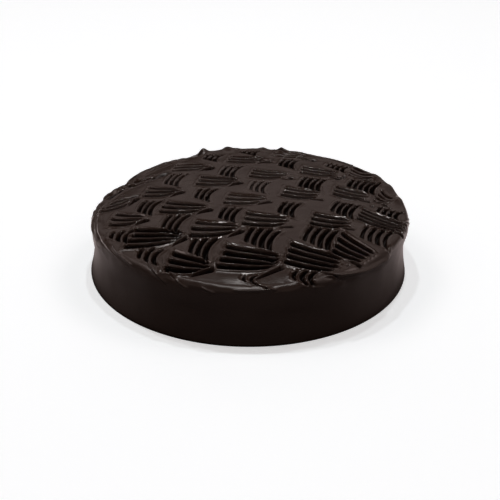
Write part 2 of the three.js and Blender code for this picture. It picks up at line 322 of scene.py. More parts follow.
# The short stroke that the knife wiped away again at the rim.
SHORT_WIPED = (-1, -2)
# Strokes whose centres lie farther from the middle than this aren't there.
COMBED_RADIUS = 105
# How steep the flank of a comb's tooth is.
TOOTH_SLOPE = math.tan(math.radians(67))
# Each stroke's seed is counted on from one of these by its column and row.
LONG_SEED, SHORT_SEED = 1000, 2000


def long_centre(i, j):
    """Node of the bowed lattice of strokes laid across: a second-order surface in column i and row j."""
    return (
        -1.4 + 38.3 * i + 20.6 * j - 0.9 * i * i - 1.15 * i * j - 0.7 * j * j,
        0.5 + 11.3 * i - 33.4 * j - 0.9 * i * i - 2.95 * i * j - j * j,
    )


def short_centre(i, j):
    """Where a short stroke hangs below its node."""
    x, y = long_centre(i, j)
    return x - 9.3 + 0.6 * i * i, y - 22 - 0.5 * i * i


def long_stroke(i, j, comb):
    """A stroke laid across, level at -X and swinging down by the square of x at +X, wider at the front."""
    dx, dy, turn, longer, deeper = LONG_STRAYED.get((i, j), STRAIGHT)
    x, y = long_centre(i, j)
    front = float(smoothstep(-y, 10, 80))
    right, left = float(smoothstep(x, 20, 60)), float(smoothstep(-x, -35, 30))
    swing = -3.5 - 0.0028 * max(0, x) ** 2 - 13 * float(smoothstep(-y, 50, 85))
    angle = math.radians(swing + turn)
    narrowed = 4.5 * front * float(smoothstep(-x, 20, 50) * smoothstep(-y, 60, 85))
    width = mix(8.6, 12.6, front) - narrowed
    return Stroke(
        x=x + dx, y=y + dy, angle=angle,
        length=longer * mix(14.8, 18, front * float(smoothstep(x, -80, 0))),
        width=width, grooves=LONG_GROOVES.get((i, j), 4 if width > 9.9 or x > 82 else 3),
        bow=mix(2.5, 1.4, front), taper=mix(0.14, 0.3, left), pinch=mix(0.16, 0.34, left),
        start_lean=width / math.tan(math.radians(76) - angle), end_lean=0,
        start_rise=1.6, end_fade=mix(7, 4.5, front), short_last=5.5 * (1 - right),
        depth=comb.groove_depth / MM * deeper * mix(1.05, 1.4, front),
        hollow=mix(1.45, 1.9, front), strength=deeper, lips=mix(0.5, 1, front) * deeper,
        tail=mix(0.55, 1.1, left) * min(1, deeper * 1.2), tail_lift=mix(0.1, 0.8, left),
        tail_reach=LONG_TAILS.get((i, j), 1), seed=LONG_SEED + 31 * i + 7 * j,
    )


def short_stroke(i, j, comb):
    """A short stroke pulled to the front: it leans right at its far end and is bent like a bracket."""
    dx, dy, turn, longer, deeper = SHORT_STRAYED.get((i, j), STRAIGHT)
    x, y = short_centre(i, j)
    front = float(smoothstep(-y, 10, 55))
    grooves = SHORT_GROOVES.get((i, j), 4 if (y < -42 and x > -20) or x > 38 else 3)
    pitch = comb.short_pitch / MM * mix(0.95, 1.16, front)
    return Stroke(
        x=x + dx, y=y + dy, angle=math.radians(74.5 - 0.07 * max(0, x) + turn),
        length=longer * mix(10.0, 11.7, front), width=grooves * pitch / 2, grooves=grooves,
        bow=-2.3 * (1 + 1.2 * float(smoothstep(-y, 85, 95))),
        taper=-mix(0.12, 0.03, float(smoothstep(x, -40, 40))), pinch=0,
        start_lean=mix(2.6, 4, front), end_lean=-1, start_rise=2.0, end_fade=3, short_last=0,
        depth=comb.groove_depth / MM * deeper * mix(1.05, 1.15, front), hollow=1.25, strength=deeper,
        lips=0.35 * deeper, tail=0, tail_lift=0, tail_reach=0, seed=SHORT_SEED + 31 * i + 7 * j,
    )


def comb_strokes(comb):
    """All strokes whose centres lie on the top, the short ones first, because the long ones cross them."""
    nodes = [(i, j) for i in range(-3, 4) for j in range(-3, 4)]
    short = [short_stroke(i, j, comb) for i, j in nodes if (i, j) != SHORT_WIPED]
    long = [long_stroke(i, j, comb) for i, j in nodes]
    return [s for s in short + long if math.hypot(s.x, s.y) < COMBED_RADIUS]


def stroke_middle(s, u):
    """How far the bow lifts the middle line at u, by the square of u, and the half width there.

    The width tapers evenly, and past the middle the pinch takes off more by the square of u.
    """
    along = np.clip(u / s.length, -1.3, 1.1)
    pinched = s.pinch * np.maximum(0, along) ** 2
    return s.bow * (along**2 - 0.33), s.width * (1 - s.taper * along - pinched)


def plan_to_stroke(s, x, y):
    """Place along the stroke, and across it in half widths to the left, of a plan place.

    Where the bow lifts the middle line, the half width shrinks by a quarter of the lift.
    """
    cos, sin = math.cos(s.angle), math.sin(s.angle)
    u = (x - s.x) * cos + (y - s.y) * sin
    v = -(x - s.x) * sin + (y - s.y) * cos
    lift, half = stroke_middle(s, u)
    return u, (v - lift) / (half - 0.25 * lift)


def stroke_ends(s, across):
    """Where the stroke starts and ends along u at each place across.

    Both lines lean, and the last groove is shorter.
    """
    side = np.clip(across, -1.2, 1.2)
    start = -s.length + s.start_lean * side
    end = s.length + s.end_lean * side - s.short_last * smoothstep(-across, 1 - 2 / s.grooves, 1)
    return start, end


def outside_stroke(s, u, across):
    """Distance outside the combed patch, negative within it: as for a rectangle, from the distances past
    its sides and past its ends.
    """
    start, end = stroke_ends(s, across)
    aside = (np.abs(across) - 1) * stroke_middle(s, u)[1]
    beyond = np.maximum(start - u, u - end)
    outside = np.hypot(np.maximum(aside, 0), np.maximum(beyond, 0))
    return outside + np.minimum(np.maximum(aside, beyond), 0)


def comb_relief(s, u, across):
    """Height of one stroke over the land.

    A tooth's flank rises by TOOTH_SLOPE with the offset to the power `hollow`, so a shallow pass
    leaves narrow grooves and a deep one leaves only fins between them. Each groove has its own
    depth, and starts and ends a little off the others. What the comb pushed out stands as bells: a
    welt beside the stroke, and beads where it was set down and lifted.
    """
    rng = np.random.default_rng(s.seed)
    half = stroke_middle(s, u)[1]
    start_line, end_line = stroke_ends(s, across)
    phase = (1 - across) / 2 * s.grooves
    groove = np.clip(np.floor(phase).astype(int), 0, s.grooves - 1)
    start_off = rng.uniform(-0.7, 0.7, s.grooves)[groove]
    end_off = rng.uniform(-1, 0.6, s.grooves)[groove]
    depths = s.depth * rng.uniform(0.85, 1.12, s.grooves)
    depths[0] *= 0.85
    reach = smoothstep(u - start_line - start_off, -0.4, s.start_rise)
    reach = reach * smoothstep(end_line + end_off - u, -0.4, s.end_fade)
    offset = np.abs(2 * (phase - groove) - 1)
    flank = TOOTH_SLOPE * half / s.grooves * offset**s.hollow
    height = -np.maximum(0, depths[groove] * reach - flank)
    near = smoothstep(1.15 - np.abs(across), -0.1, 0.1)
    fin = 0.2 * s.strength * np.exp(-(((1 - np.minimum(offset, 1)) / 0.3) ** 2)) * reach * near
    aside = (np.abs(across) - 1) * half
    span = smoothstep(u - start_line, -1.5, 1.5) * smoothstep(end_line - u, -1.5, 2.5)
    welt = np.exp(-(((aside - 0.6) / 0.8) ** 2)) * span
    beads = 0.5 + 0.5 * np.cos(TAU * (phase - 0.5))
    broad = mix(0.6, 1.5, s.lips)
    start_lip = np.exp(-(((u - start_line + broad) / broad) ** 2)) * mix(beads, 1, 0.6) * near
    end_lip = np.exp(-(((u - end_line - 0.6) / 0.9) ** 2)) * beads * near
    return height + fin + s.lips * (0.5 * welt + 1.1 * start_lip + 0.25 * end_lip)


def torn_tail(x, y, s):
    """Height of the tear that the comb left as it was lifted, in a line along the ends of the grooves.

    The line runs from beside the last groove to past the far end. A bell across it digs a trench
    that widens and deepens to that end, and the icing torn off stands as a thin ridge on its left.
    """
    rng = np.random.default_rng(s.seed + 5)
    near_u, near_v = s.length - 7 * s.tail_reach + rng.uniform(-1, 1), (-0.3 - 0.7 * s.tail_reach) * s.width
    far_u, far_v = s.length + 2 + rng.uniform(-0.5, 0.5), (s.tail_lift - 0.95) * s.width
    cos, sin = math.cos(s.angle), math.sin(s.angle)
    u = (x - s.x) * cos + (y - s.y) * sin - near_u
    v = -(x - s.x) * sin + (y - s.y) * cos - near_v
    reach = math.hypot(far_u - near_u, far_v - near_v)
    along_u, along_v = (far_u - near_u) / reach, (far_v - near_v) / reach
    along, off = (u * along_u + v * along_v) / reach, v * along_u - u * along_v
    size = s.tail * rng.uniform(0.85, 1.15)
    wide = size * mix(0.5, 1.5, np.clip(along, 0, 1) ** 1.3)
    stretch = smoothstep(along, -0.25, 0.25) * smoothstep(-along, -1.12, -0.9)
    trench = np.exp(-((off / wide) ** 2)) * stretch
    ridge = 0.75 * size * np.exp(-(((off - wide - 0.7) / 0.55) ** 2))
    ridge = ridge * smoothstep(along, 0, 0.4) * (along < 1.1)
    return ridge * stretch - 4.2 * size * trench * mix(0.5, 1, np.clip(along, 0, 1))


# Knife marks on the land: height, size along X, how many times finer they are along Y, and seed.
KNIFE_MARKS = ((0.25, 14, 1, 3), (0.1, 5, 1.6, 4), (0.04, 2.2, 1, 5))
# How far round its patch a stroke still has relief.
STROKE_MARGIN = 6
# Single pits in the land: x, y, radius and depth.
PITS = (
    (87, -2, 1.4, 1.8), (66, 44, 1.5, 1.7), (50, 82, 1.9, 1.6), (72, 51, 1.4, 1.6), (32, 40, 1.4, 1.4),
    (63, -84, 1.2, 1.3), (69, -83, 1.0, 1.0), (28, 104, 1.3, 1.5), (39, 97, 1.1, 1.2), (45, 97, 1.0, 1.0),
)
# Slits torn by the lifted comb where no stroke shows: x, y, degrees, half length, half width and depth.
# The last is a ridge, so its depth is negative.
SLITS = (
    (-67, 51, 42, 8, 2.6, 4.5), (-87, 9, 27, 9, 1.3, 3.0), (14, 79, 30, 7, 1.6, 2.2),
    (-30, 57, 20, 3, 1.2, 1.4), (-40, 94, 30, 3.5, 1.6, 2.0), (-97, 29, 65, 7, 2.4, 3.4),
    (-76, 41, 35, 6, 1.8, 2.6), (-86, 44, 50, 6, 1.6, 2.2), (50, 83, 0, 3.5, 2.2, 2.4),
    (69, 48, 20, 3, 1.8, 2.4), (30.5, 40, 0, 3, 1.6, 2.2), (-20.5, -86, 97, 6, 1.2, -1.3),
)


def slit(x, y, cx, cy, degrees, length, width, depth):
    """Height of a bell-shaped pit, long one way: minus the depth times e to the minus squares of both
    offsets over their halves.
    """
    cos, sin = math.cos(math.radians(degrees)), math.sin(math.radians(degrees))
    u, v = (x - cx) * cos + (y - cy) * sin, -(x - cx) * sin + (y - cy) * cos
    return -depth * np.exp(-((u / length) ** 2) - (v / width) ** 2)


def land_relief(x, y, comb):
    """Relief of the land at plan places, and how far each place lies in the trace of a comb.

    Knife marks come first, then each stroke in its turn with its torn tail, then pits and slits.
    """
    ripple = sum(high * wander(x, y * finer, size, seed) for high, size, finer, seed in KNIFE_MARKS)
    height, combed = ripple.copy(), np.zeros_like(x)
    for s in comb_strokes(comb):
        near = np.hypot(x - s.x, y - s.y) < s.length + s.width + STROKE_MARGIN
        u, across = plan_to_stroke(s, x[near], y[near])
        outside = outside_stroke(s, u, across)
        cover = smoothstep(-outside, -0.5, 0.5)
        height[near] = mix(height[near], 0.4 * ripple[near], cover) + comb_relief(s, u, across)
        combed[near] = np.maximum(combed[near], smoothstep(-outside, -2, 0.5))
        if s.tail:
            height[near] += torn_tail(x[near], y[near], s)
    for px, py, radius, depth in PITS:
        height += slit(x, y, px, py, 0, radius, radius, depth)
    for place in SLITS:
        height += slit(x, y, *place)
    return height, combed


# Knife arcs round the rim: start and end azimuth in degrees, distance in from the lip at each end
# (a negative one hangs over it), height and width.
ARCS = (
    (118, 160, 16, 5, 0.8, 1.2), (126, 170, 10, 1, 1.0, 1.1), (140, 186, 14, 2, 1.0, 1.0),
    (150, 196, 18, 6, 0.9, 1.1), (166, 206, 9, -1, 0.6, 0.8), (180, 222, 12, 1, 0.5, 0.7),
    (190, 214, 4, -5, 0.5, 0.7), (213, 229, 7.5, 1, 0.6, 0.6), (230, 244, 15.4, -1.3, 0.8, 0.6),
    (235, 246, 20.7, 4, 0.7, 0.7), (246, 251, 4, -0.7, 0.8, 0.6), (255, 260, 2.2, -0.4, 0.8, 0.6),
    (265, 280, 2.4, 2.3, 0.8, 0.6), (290, 304, 1, -3.9, 0.6, 0.6), (295, 320, 6.2, -1.4, 0.9, 0.8),
    (297, 327, 3.5, -1.6, 2.0, 1.1), (334, 348, 16, 1, 0.7, 0.8), (338, 352, 14, -1, 0.7, 0.8),
    (342, 356, 12, -3, 0.6, 0.8), (346, 360, 10, -4, 0.6, 0.8), (12, 60, 3, 6, 0.5, 1.4),
    (30, 84, 7, 3, 0.4, 1.3), (80, 125, 2, 6, 0.5, 1.3),
)


# The icing round the rim is rough this far in and out from the lip, and ragged about this azimuth in
# degrees: factor on the roughness elsewhere, and where it is ragged.
ROUGH_REACH = 14
RAGGED_AZIMUTH = 140
SMOOTH_RIM, RAGGED_RIM = 0.12, 2.2


def rim_arcs(turn, inward):
    """Ridges along the rim: a bell across each arc, with a shallower one dug along its outside.

    The distance in from the lip runs from end to end by the power 0.6 of the way. The random field
    adds the rough icing between them.
    """
    height = np.zeros_like(turn)
    for start, end, at_start, at_end, rise, width in ARCS:
        share = ((np.degrees(turn) - start) % 360) / (end - start)
        fade = smoothstep(share, 0, 0.15) * smoothstep(1 - share, 0, 0.15)
        off = inward - mix(at_start, at_end, np.clip(share, 0, 1) ** 0.6)
        dug = 0.7 * np.exp(-(((off + 1.9 * width) / width) ** 2))
        height += rise * fade * (np.exp(-((off / width) ** 2)) - dug)
    ragged = smoothstep(np.cos(turn - np.radians(RAGGED_AZIMUTH)), 0.1, 0.7)
    ragged = ragged * smoothstep(inward, -8, -3) * smoothstep(-inward, -ROUGH_REACH, -6)
    rough = 0.3 * ring_wander(turn, -2 * inward, 9, 21) + 0.22 * ring_wander(turn, -2 * inward, 4, 22)
    return height + mix(SMOOTH_RIM, RAGGED_RIM, ragged) * rough * (np.abs(inward) < ROUGH_REACH)


# ---- The surface ----

# Arc from the land's edge round to the lip. The relief of the top ends a little past it, and fades
# out to there over this distance.
RIM_ARC, TOP_END, TOP_FADE = 6.5, 7.5, 4
# The relief of the side fades out below this height, and there is none on the foot.
FOOT_FADE, FOOT_HEIGHT = 6, 0.5


def disc_grid(cells):
    """Square grid drawn out to a disc, as each vertex's ring from 0 to 1 and its turn.

    With a and b across the square from -1 to 1, the ring is the larger of |a| and |b|, and the turn
    runs evenly along the four sides of the square.
    """
    a, b = np.meshgrid(np.linspace(-1, 1, cells + 1), np.linspace(-1, 1, cells + 1), indexing="ij")
    ring = np.maximum(np.abs(a), np.abs(b))
    wide = np.abs(a) >= np.abs(b)
    with np.errstate(divide="ignore", invalid="ignore"):
        slant = np.where(wide, b / np.where(wide, np.where(a == 0, 1, a), 1), a / np.where(b == 0, 1, b))
    turn = np.where(
        wide,
        np.pi / 4 * slant + np.where(a < 0, np.pi, 0),
        np.pi / 2 - np.pi / 4 * slant + np.where(b < 0, np.pi, 0),
    )
    return ring, turn % TAU


def grid_edge(cells):
    """Vertex numbers round the edge of the square grid, counter-clockwise from its low corner."""
    n = np.arange(cells)

    def at(i, j):
        return i * (cells + 1) + j

    return np.concatenate([at(n, 0), at(cells, n), at(cells - n, cells), at(0, cells - n)])


def land_edge(turn, shape):
    """Radius at which the combed top ends and the rim begins."""
    return lip_radius(turn, shape) - shape.rim_width / MM


def side_section(turn, shape):
    """Upright section at each turn, as rows of radius and of height from the land's edge to the foot.

    A quarter ellipse rounds the rim over to the lip, a smoothstep draws the side in to its waist,
    and a quarter sine flares it to the foot.
    """
    lip = lip_radius(turn, shape)
    lip_up = shape.lip_height / MM + LIP_TILT_X * np.cos(turn) + LIP_TILT_Y * np.sin(turn)
    lip_up = lip_up + 0.8 * unevenness(turn + 1.3)
    waist = shape.waist_radius / MM + WAIST_LEAN * np.cos(turn) + 0.3 * unevenness(turn + 2)
    land = land_edge(turn, shape)
    edge_up = dome_height(land * np.cos(turn), land * np.sin(turn), shape) + rim_lift(turn)
    over = np.linspace(np.pi / 2, 0, RIM_ROWS + 1)[1:, None]
    rim = mix(land, lip, np.cos(over)), mix(lip_up, edge_up, np.sin(over))
    rise = np.linspace(1, 0, LIP_ROWS + 1)[1:, None]
    side = mix(waist, lip, smoothstep(rise, 0, 1)), mix(WAIST_HEIGHT, lip_up, rise)
    drop = np.linspace(1, 0, WAIST_ROWS + 1)[1:, None] ** 1.5
    foot = mix(shape.foot_radius / MM, waist, np.sin(drop * np.pi / 2)), drop * WAIST_HEIGHT + 0 * turn
    return (np.concatenate(rows) for rows in zip(rim, side, foot))


def vertex_normals(points, quads):
    """Unit normals: the cross products of each face's diagonals, summed at its corners."""
    a, b, c, d = (points[quads[:, k]] for k in range(4))
    face = np.cross(c - a, d - b)
    total = np.zeros_like(points)
    for k in range(4):
        for axis in range(3):
            total[:, axis] += np.bincount(quads[:, k], face[:, axis], len(points))
    return total / np.linalg.norm(total, axis=1, keepdims=True)


def plain_surface(shape):
    """The domed disc with the side hung from its edge, before any relief.

    Gives the points, each point's arc length from the middle of the top and its turn, the quads and
    the ring of the foot.
    """
    ring, turn = disc_grid(TOP_CELLS)
    ring, turn = ring.ravel(), turn.ravel()
    land = land_edge(turn, shape)
    radius = ring * mix(land.mean(), land, ring**4)
    x, y = radius * np.cos(turn), radius * np.sin(turn)
    lift = rim_lift(turn) * smoothstep(radius / land, 0.93, 1) ** 1.5
    top = np.stack([x, y, dome_height(x, y, shape) + lift], 1)

    edge = grid_edge(TOP_CELLS)
    edge_turn = turn[edge]
    rows_r, rows_z = side_section(edge_turn, shape)
    side = np.stack([rows_r * np.cos(edge_turn), rows_r * np.sin(edge_turn), rows_z], -1)
    first = top[edge][None]
    steps = np.linalg.norm(np.diff(np.concatenate([first, side]), axis=0), axis=-1)
    side_arc = radius[edge][None] + np.cumsum(steps, 0)
    points = np.concatenate([top, side.reshape(-1, 3)])
    arc = np.concatenate([radius, side_arc.ravel()])
    turn = np.concatenate([turn, np.tile(edge_turn, len(side))])

    n = TOP_CELLS + 1
    i, j = np.meshgrid(np.arange(TOP_CELLS), np.arange(TOP_CELLS), indexing="ij")
    low = (i * n + j).ravel()
    top_quads = np.stack([low, low + n, low + n + 1, low + 1], 1)
    hung = len(top) + np.arange(len(side) * len(edge)).reshape(-1, len(edge))
    rings = np.concatenate([edge[None], hung])
    above, below = rings[:-1], rings[1:]
    side_quads = np.stack([above, below, np.roll(below, -1, 1), np.roll(above, -1, 1)], -1)
    quads = np.concatenate([top_quads, side_quads.reshape(-1, 4)])
    return points, arc, turn, quads, rings[-1]


def icing_surface(shape, comb):
    """Points, quads, ring of the foot, and each point's traits, which the finish follows.

    Every point of the plain surface moves along its normal by the relief at its unrolled place,
    which lies at its arc length from the middle along its azimuth.
    """
    points, arc, turn, quads, foot_ring = plain_surface(shape)
    land = land_edge(turn, shape)
    inward = land + RIM_ARC - arc
    on_top = smoothstep(land + TOP_END - arc, 0, TOP_FADE)
    relief, combed = land_relief(arc * np.cos(turn), arc * np.sin(turn), comb)
    # The furrow trait marks where the relief sinks below the land; the finish paints shade there.
    traits = {"wall": 1 - on_top, "combed": combed * on_top, "furrow": smoothstep(-relief, 0.3, 2) * on_top}
    relief = relief * on_top + rim_arcs(turn, inward)
    height = points[:, 2]
    scraped = 0.5 * ring_wander(turn, height * 2.5, 26, 11) + 0.15 * ring_wander(turn, height, 9, 12)
    relief += (1 - on_top) * smoothstep(height, 0, FOOT_FADE) * scraped
    foot = height < FOOT_HEIGHT
    relief[foot] = 0
    points = points + vertex_normals(points, quads) * relief[:, None]
    points[foot, 2] = 0
    return points, quads, foot_ring, traits


def icing_mesh(name, shape, comb):
    """Closed mesh in metres: the icing surface and one flat face under it."""
    points, quads, foot, traits = icing_surface(shape, comb)
    mesh = bpy.data.meshes.new(name)
    mesh.from_pydata((points * MM).tolist(), [], [*quads.tolist(), foot[::-1].tolist()])
    mesh.polygons.foreach_set("use_smooth", np.ones(len(mesh.polygons), bool))
    mesh.polygons[-1].use_smooth = False
    for trait, share in traits.items():
        mesh.attributes.new(trait, "FLOAT", "POINT").data.foreach_set("value", share.astype(np.float32))
    mesh.update()
    return mesh


def thinned(piece, share):
    """Takes faces out of the flat stretches with Decimate, down to a share of them, and keeps the result.

    The foot and the flat face under it are spared.
    """
    fine = piece.data
    places = np.empty(len(fine.vertices) * 3)
    fine.vertices.foreach_get("co", places)
    above = np.flatnonzero(places[2::3] > SPARED_HEIGHT)
    piece.vertex_groups.new(name="thinned").add(above.tolist(), 1.0, "REPLACE")
    thin = piece.modifiers.new("thin", "DECIMATE")
    thin.ratio, thin.vertex_group = share, "thinned"
    seen = piece.evaluated_get(bpy.context.evaluated_depsgraph_get())
    piece.data = bpy.data.meshes.new_from_object(seen)
    piece.data.name = piece.name
    piece.modifiers.clear()
    piece.vertex_groups.clear()
    bpy.data.meshes.remove(fine)


# ---- Materials ----

TIMES = {"operation": "MULTIPLY"}
TIMES_PLUS = {"operation": "MULTIPLY_ADD"}
SOFT_STEP = {"interpolation_type": "SMOOTHSTEP"}
ONE_NUMBER = {"data_type": "FLOAT"}
ONE_COLOUR = {"data_type": "RGBA"}

# Colour of the icing's richer patches, and a near black brown painted deep in the furrows as their shade.
RICH_COCOA = "#291C16"
FURROW_SHADE_COCOA = "#0E0807"
# Across a patch of butter and cocoa, and across a grain of sugar or a pinhole.
PATCH_SIZE = 25 * MM
GRAIN_SIZE = 1.25 * MM
GRAIN_HEIGHT = 0.3 * MM
# Roughness of the combed icing, which is in the grooves, and of the scraped wall.
COMBED_ROUGHNESS = 0.12
WALL_ROUGHNESS = 0.5
# Specular level of the skin, and deep in the furrows.
SKIN_SHINE = 0.5
FURROW_SHINE = 0.22


def linear(hex_colour):
    """sRGB hex to linear RGBA."""
    parts = [int(hex_colour[k : k + 2], 16) / 255 for k in (1, 3, 5)]
    return (*[c / 12.92 if c <= 0.04045 else ((c + 0.055) / 1.055) ** 2.4 for c in parts], 1)


def add_node(tree, kind, settings=None, inputs=None):
    """A node of a kind with its settings. Each input is a value, or another node's socket to link."""
    node = tree.nodes.new(kind)
    for key, value in (settings or {}).items():
        setattr(node, key, value)
    for key, value in (inputs or {}).items():
        if isinstance(value, bpy.types.NodeSocket):
            tree.links.new(value, node.inputs[key])
        else:
            node.inputs[key].default_value = value
    return node


def new_material(name):
    """An empty node material and its tree."""
    material = bpy.data.materials.new(name)
    material.use_nodes = True
    material.node_tree.nodes.clear()
    return material, material.node_tree


def soft_window(tree, value, lo, hi, soft):
    """1 where a value lies between lo and hi, fading by a smoothstep over `soft` at both ends."""
    rise = add_node(
        tree, "ShaderNodeMapRange", SOFT_STEP,
        {"From Min": lo - soft / 2, "From Max": lo + soft / 2, "Value": value},
    ).outputs["Result"]
    fall = add_node(
        tree, "ShaderNodeMapRange", SOFT_STEP,
        {
            "From Min": hi - soft / 2, "From Max": hi + soft / 2,
            "To Min": 1.0, "To Max": 0.0,
            "Value": value,
        },
    ).outputs["Result"]
    return add_node(tree, "ShaderNodeMath", TIMES, {0: rise, 1: fall}).outputs["Value"]


def chocolate_icing(look):
    """Dark chocolate icing of cocoa, sugar and butter, spread with a knife and combed while soft.

    To the eye: nearly black brown in its body, a greasy sheen that turns the smoothed land grey,
    glossy where the comb went, and duller on the side, where the knife dragged a drier skin.
    """
    material, tree = new_material("dark_chocolate_icing")
    place = add_node(tree, "ShaderNodeTexCoord").outputs["Object"]
    wall, combed, furrow = (
        add_node(tree, "ShaderNodeAttribute", {"attribute_name": trait}).outputs["Fac"]
        for trait in ("wall", "combed", "furrow")
    )
    patches = add_node(
        tree, "ShaderNodeTexNoise", None,
        {"Scale": 1 / PATCH_SIZE, "Detail": 3.0, "Roughness": 0.5, "Vector": place},
    ).outputs["Fac"]
    # The finest pattern that shows at this distance.
    grain = add_node(
        tree, "ShaderNodeTexNoise", None,
        {"Scale": 1 / GRAIN_SIZE, "Detail": 2.0, "Roughness": 0.6, "Vector": place},
    ).outputs["Fac"]
    skin = add_node(
        tree, "ShaderNodeMix", ONE_COLOUR,
        {"A": linear(look.cocoa), "B": linear(RICH_COCOA), "Factor": patches},
    ).outputs["Result"]
    # Painted shade: deep in the furrows the colour goes over to a near black brown, darker than the skin.
    colour = add_node(
        tree, "ShaderNodeMix", ONE_COLOUR, {"A": skin, "B": linear(FURROW_SHADE_COCOA), "Factor": furrow}
    ).outputs["Result"]
    sheen = add_node(
        tree, "ShaderNodeMapRange", None,
        {
            "From Min": 0.3, "From Max": 0.7,
            "To Min": look.roughness - 0.05, "To Max": look.roughness + 0.07,
            "Value": patches,
        },
    ).outputs["Result"]
    glossed = add_node(
        tree, "ShaderNodeMix", ONE_NUMBER, {"A": sheen, "B": COMBED_ROUGHNESS, "Factor": combed}
    ).outputs["Result"]
    roughness = add_node(
        tree, "ShaderNodeMix", ONE_NUMBER, {"A": glossed, "B": WALL_ROUGHNESS, "Factor": wall}
    ).outputs["Result"]
    bump = add_node(
        tree, "ShaderNodeBump", None, {"Strength": 0.25, "Distance": GRAIN_HEIGHT, "Height": grain}
    ).outputs["Normal"]
    # Deep in the furrows it shines less than the skin, which darkens them further: painted shade in their
    # reflection.
    shine = add_node(
        tree, "ShaderNodeMix", ONE_NUMBER, {"A": SKIN_SHINE, "B": FURROW_SHINE, "Factor": furrow}
    ).outputs["Result"]
    shader = add_node(
        tree, "ShaderNodeBsdfPrincipled", None,
        {
            "IOR": 1.45,
            "Specular Tint": (1.0, 0.94, 0.92, 1),
            "Specular IOR Level": shine,
            "Base Color": colour,
            "Roughness": roughness,
            "Normal": bump,
        },
    )
    add_node(tree, "ShaderNodeOutputMaterial", None, {"Surface": shader.outputs["BSDF"]})
    return material


# Where the floor is bright: from and to in metres along an axis or out from the middle of the cake, and
# over how much it fades. The shoulders' stretch across X counts to either side.
SHOULDERS_Y, SHOULDERS_X = (0.0, 0.36, 0.1), (0.105, 0.6, 0.03)
BESIDE_Y = (-0.1, 0.1, 0.06)
BEFORE_Y = (-0.6, -0.12, 0.06)
CLEAR_OF_CAKE = (0.122, 9.0, 0.02)
# How bright each is as a share of the shoulders' light.
BESIDE_LIGHT, BEFORE_LIGHT, REST_LIGHT = 0.2, 0.1, 0.01
FLOOR_CARD_TINT = (1.0, 0.84, 0.82, 1)


def pale_floor(stage):
    """Matt white acrylic lit from below. To the eye it glows a little all over.

    The cake sees it brightest beside and behind its shoulders, dim in front and black behind its
    middle and in its own shadow, as with cards laid round it out of view.
    """
    material, tree = new_material("matt_white_acrylic")
    seen = add_node(tree, "ShaderNodeLightPath").outputs["Is Camera Ray"]
    coordinates = add_node(tree, "ShaderNodeTexCoord").outputs["Object"]
    place = add_node(tree, "ShaderNodeSeparateXYZ", None, {"Vector": coordinates}).outputs
    x, y = place["X"], place["Y"]
    behind = soft_window(tree, y, *SHOULDERS_Y)
    aside = add_node(tree, "ShaderNodeMath", {"operation": "ABSOLUTE"}, {0: x}).outputs["Value"]
    off_middle = soft_window(tree, aside, *SHOULDERS_X)
    shoulders = add_node(tree, "ShaderNodeMath", TIMES, {0: behind, 1: off_middle}).outputs["Value"]
    beside = soft_window(tree, y, *BESIDE_Y)
    before = soft_window(tree, y, *BEFORE_Y)
    light = REST_LIGHT
    for window, share in ((shoulders, 1.0), (beside, BESIDE_LIGHT), (before, BEFORE_LIGHT)):
        light = add_node(
            tree, "ShaderNodeMath", TIMES_PLUS, {0: window, 1: share, 2: light}
        ).outputs["Value"]
    # The distance from the middle: the root of the sum of both squares.
    square = add_node(tree, "ShaderNodeMath", TIMES, {0: y, 1: y}).outputs["Value"]
    square = add_node(tree, "ShaderNodeMath", TIMES_PLUS, {0: x, 1: x, 2: square}).outputs["Value"]
    radius = add_node(tree, "ShaderNodeMath", {"operation": "SQRT"}, {0: square}).outputs["Value"]
    clear = soft_window(tree, radius, *CLEAR_OF_CAKE)
    light = add_node(tree, "ShaderNodeMath", TIMES, {0: light, 1: clear}).outputs["Value"]
    light = add_node(tree, "ShaderNodeMath", TIMES, {0: light, 1: stage.sweep}).outputs["Value"]
    cards = add_node(tree, "ShaderNodeEmission", None, {"Color": FLOOR_CARD_TINT, "Strength": light})
    acrylic = add_node(tree, "ShaderNodeBsdfDiffuse", None, {"Color": (*stage.floor_colour, 1)})
    glow = add_node(tree, "ShaderNodeEmission", None, {"Strength": stage.glow})
    lit = add_node(
        tree, "ShaderNodeAddShader", None, {0: acrylic.outputs["BSDF"], 1: glow.outputs["Emission"]}
    )
    both = add_node(
        tree, "ShaderNodeMixShader", None,
        {"Fac": seen, 1: cards.outputs["Emission"], 2: lit.outputs["Shader"]},
    )
    add_node(tree, "ShaderNodeOutputMaterial", None, {"Surface": both.outputs["Shader"]})
    return material


# ---- Stage ----

# Soft boxes in the sky, alike at -X and +X: the setting that gives their brightness, from and to in
# azimuth, counted from +Y round to either side, and in elevation from the floor, in degrees.
SKY_BOXES = (
    ("back_card", (-30, 36), (15, 45)),
    ("low_strips", (36, 76), (-10, 14)),
    ("high_boxes", (48, 84), (46, 65)),
    ("side_boxes", (76, 116), (32, 60)),
    ("front_card", (116, 210), (20, 45)),
)
# Over how many degrees they fade, round and up.
SKY_FADE_ROUND, SKY_FADE_UP = 16, 8
SKY_TINT = (1.0, 0.86, 0.83, 1)

# Small disc lamps, and how wide they are, in metres.
SPARK_PLACES = {"left_spark": (-0.32, 0.35, 1.9), "right_spark": (0.14, 0.35, 1.9)}
SPARK_WIDTH = 0.1

# The floor's half width, and how far it lies under the cake.
FLOOR_HALF, FLOOR_DROP = 4.0, 0.2 * MM

# Where the camera stands, how far it looks down and how far it is rolled, in metres and radians.
CAMERA_PLACE = (0.0013, -0.6021, 0.3313)
CAMERA_DOWN, CAMERA_ROLL = 0.492939, 0.00688
# Its sensor in mm, and its focal length in pixels of a square frame.
SENSOR_WIDTH = 36
FRAME_PIXELS, FOCAL_PIXELS = 500, 947.87
NEAREST, FARTHEST = 0.05, 20


def show(name, mesh, material):
    """Puts a mesh in the scene as an object at the origin with its material."""
    piece = bpy.data.objects.new(name, mesh)
    mesh.materials.append(material)
    bpy.context.scene.collection.objects.link(piece)
    return piece


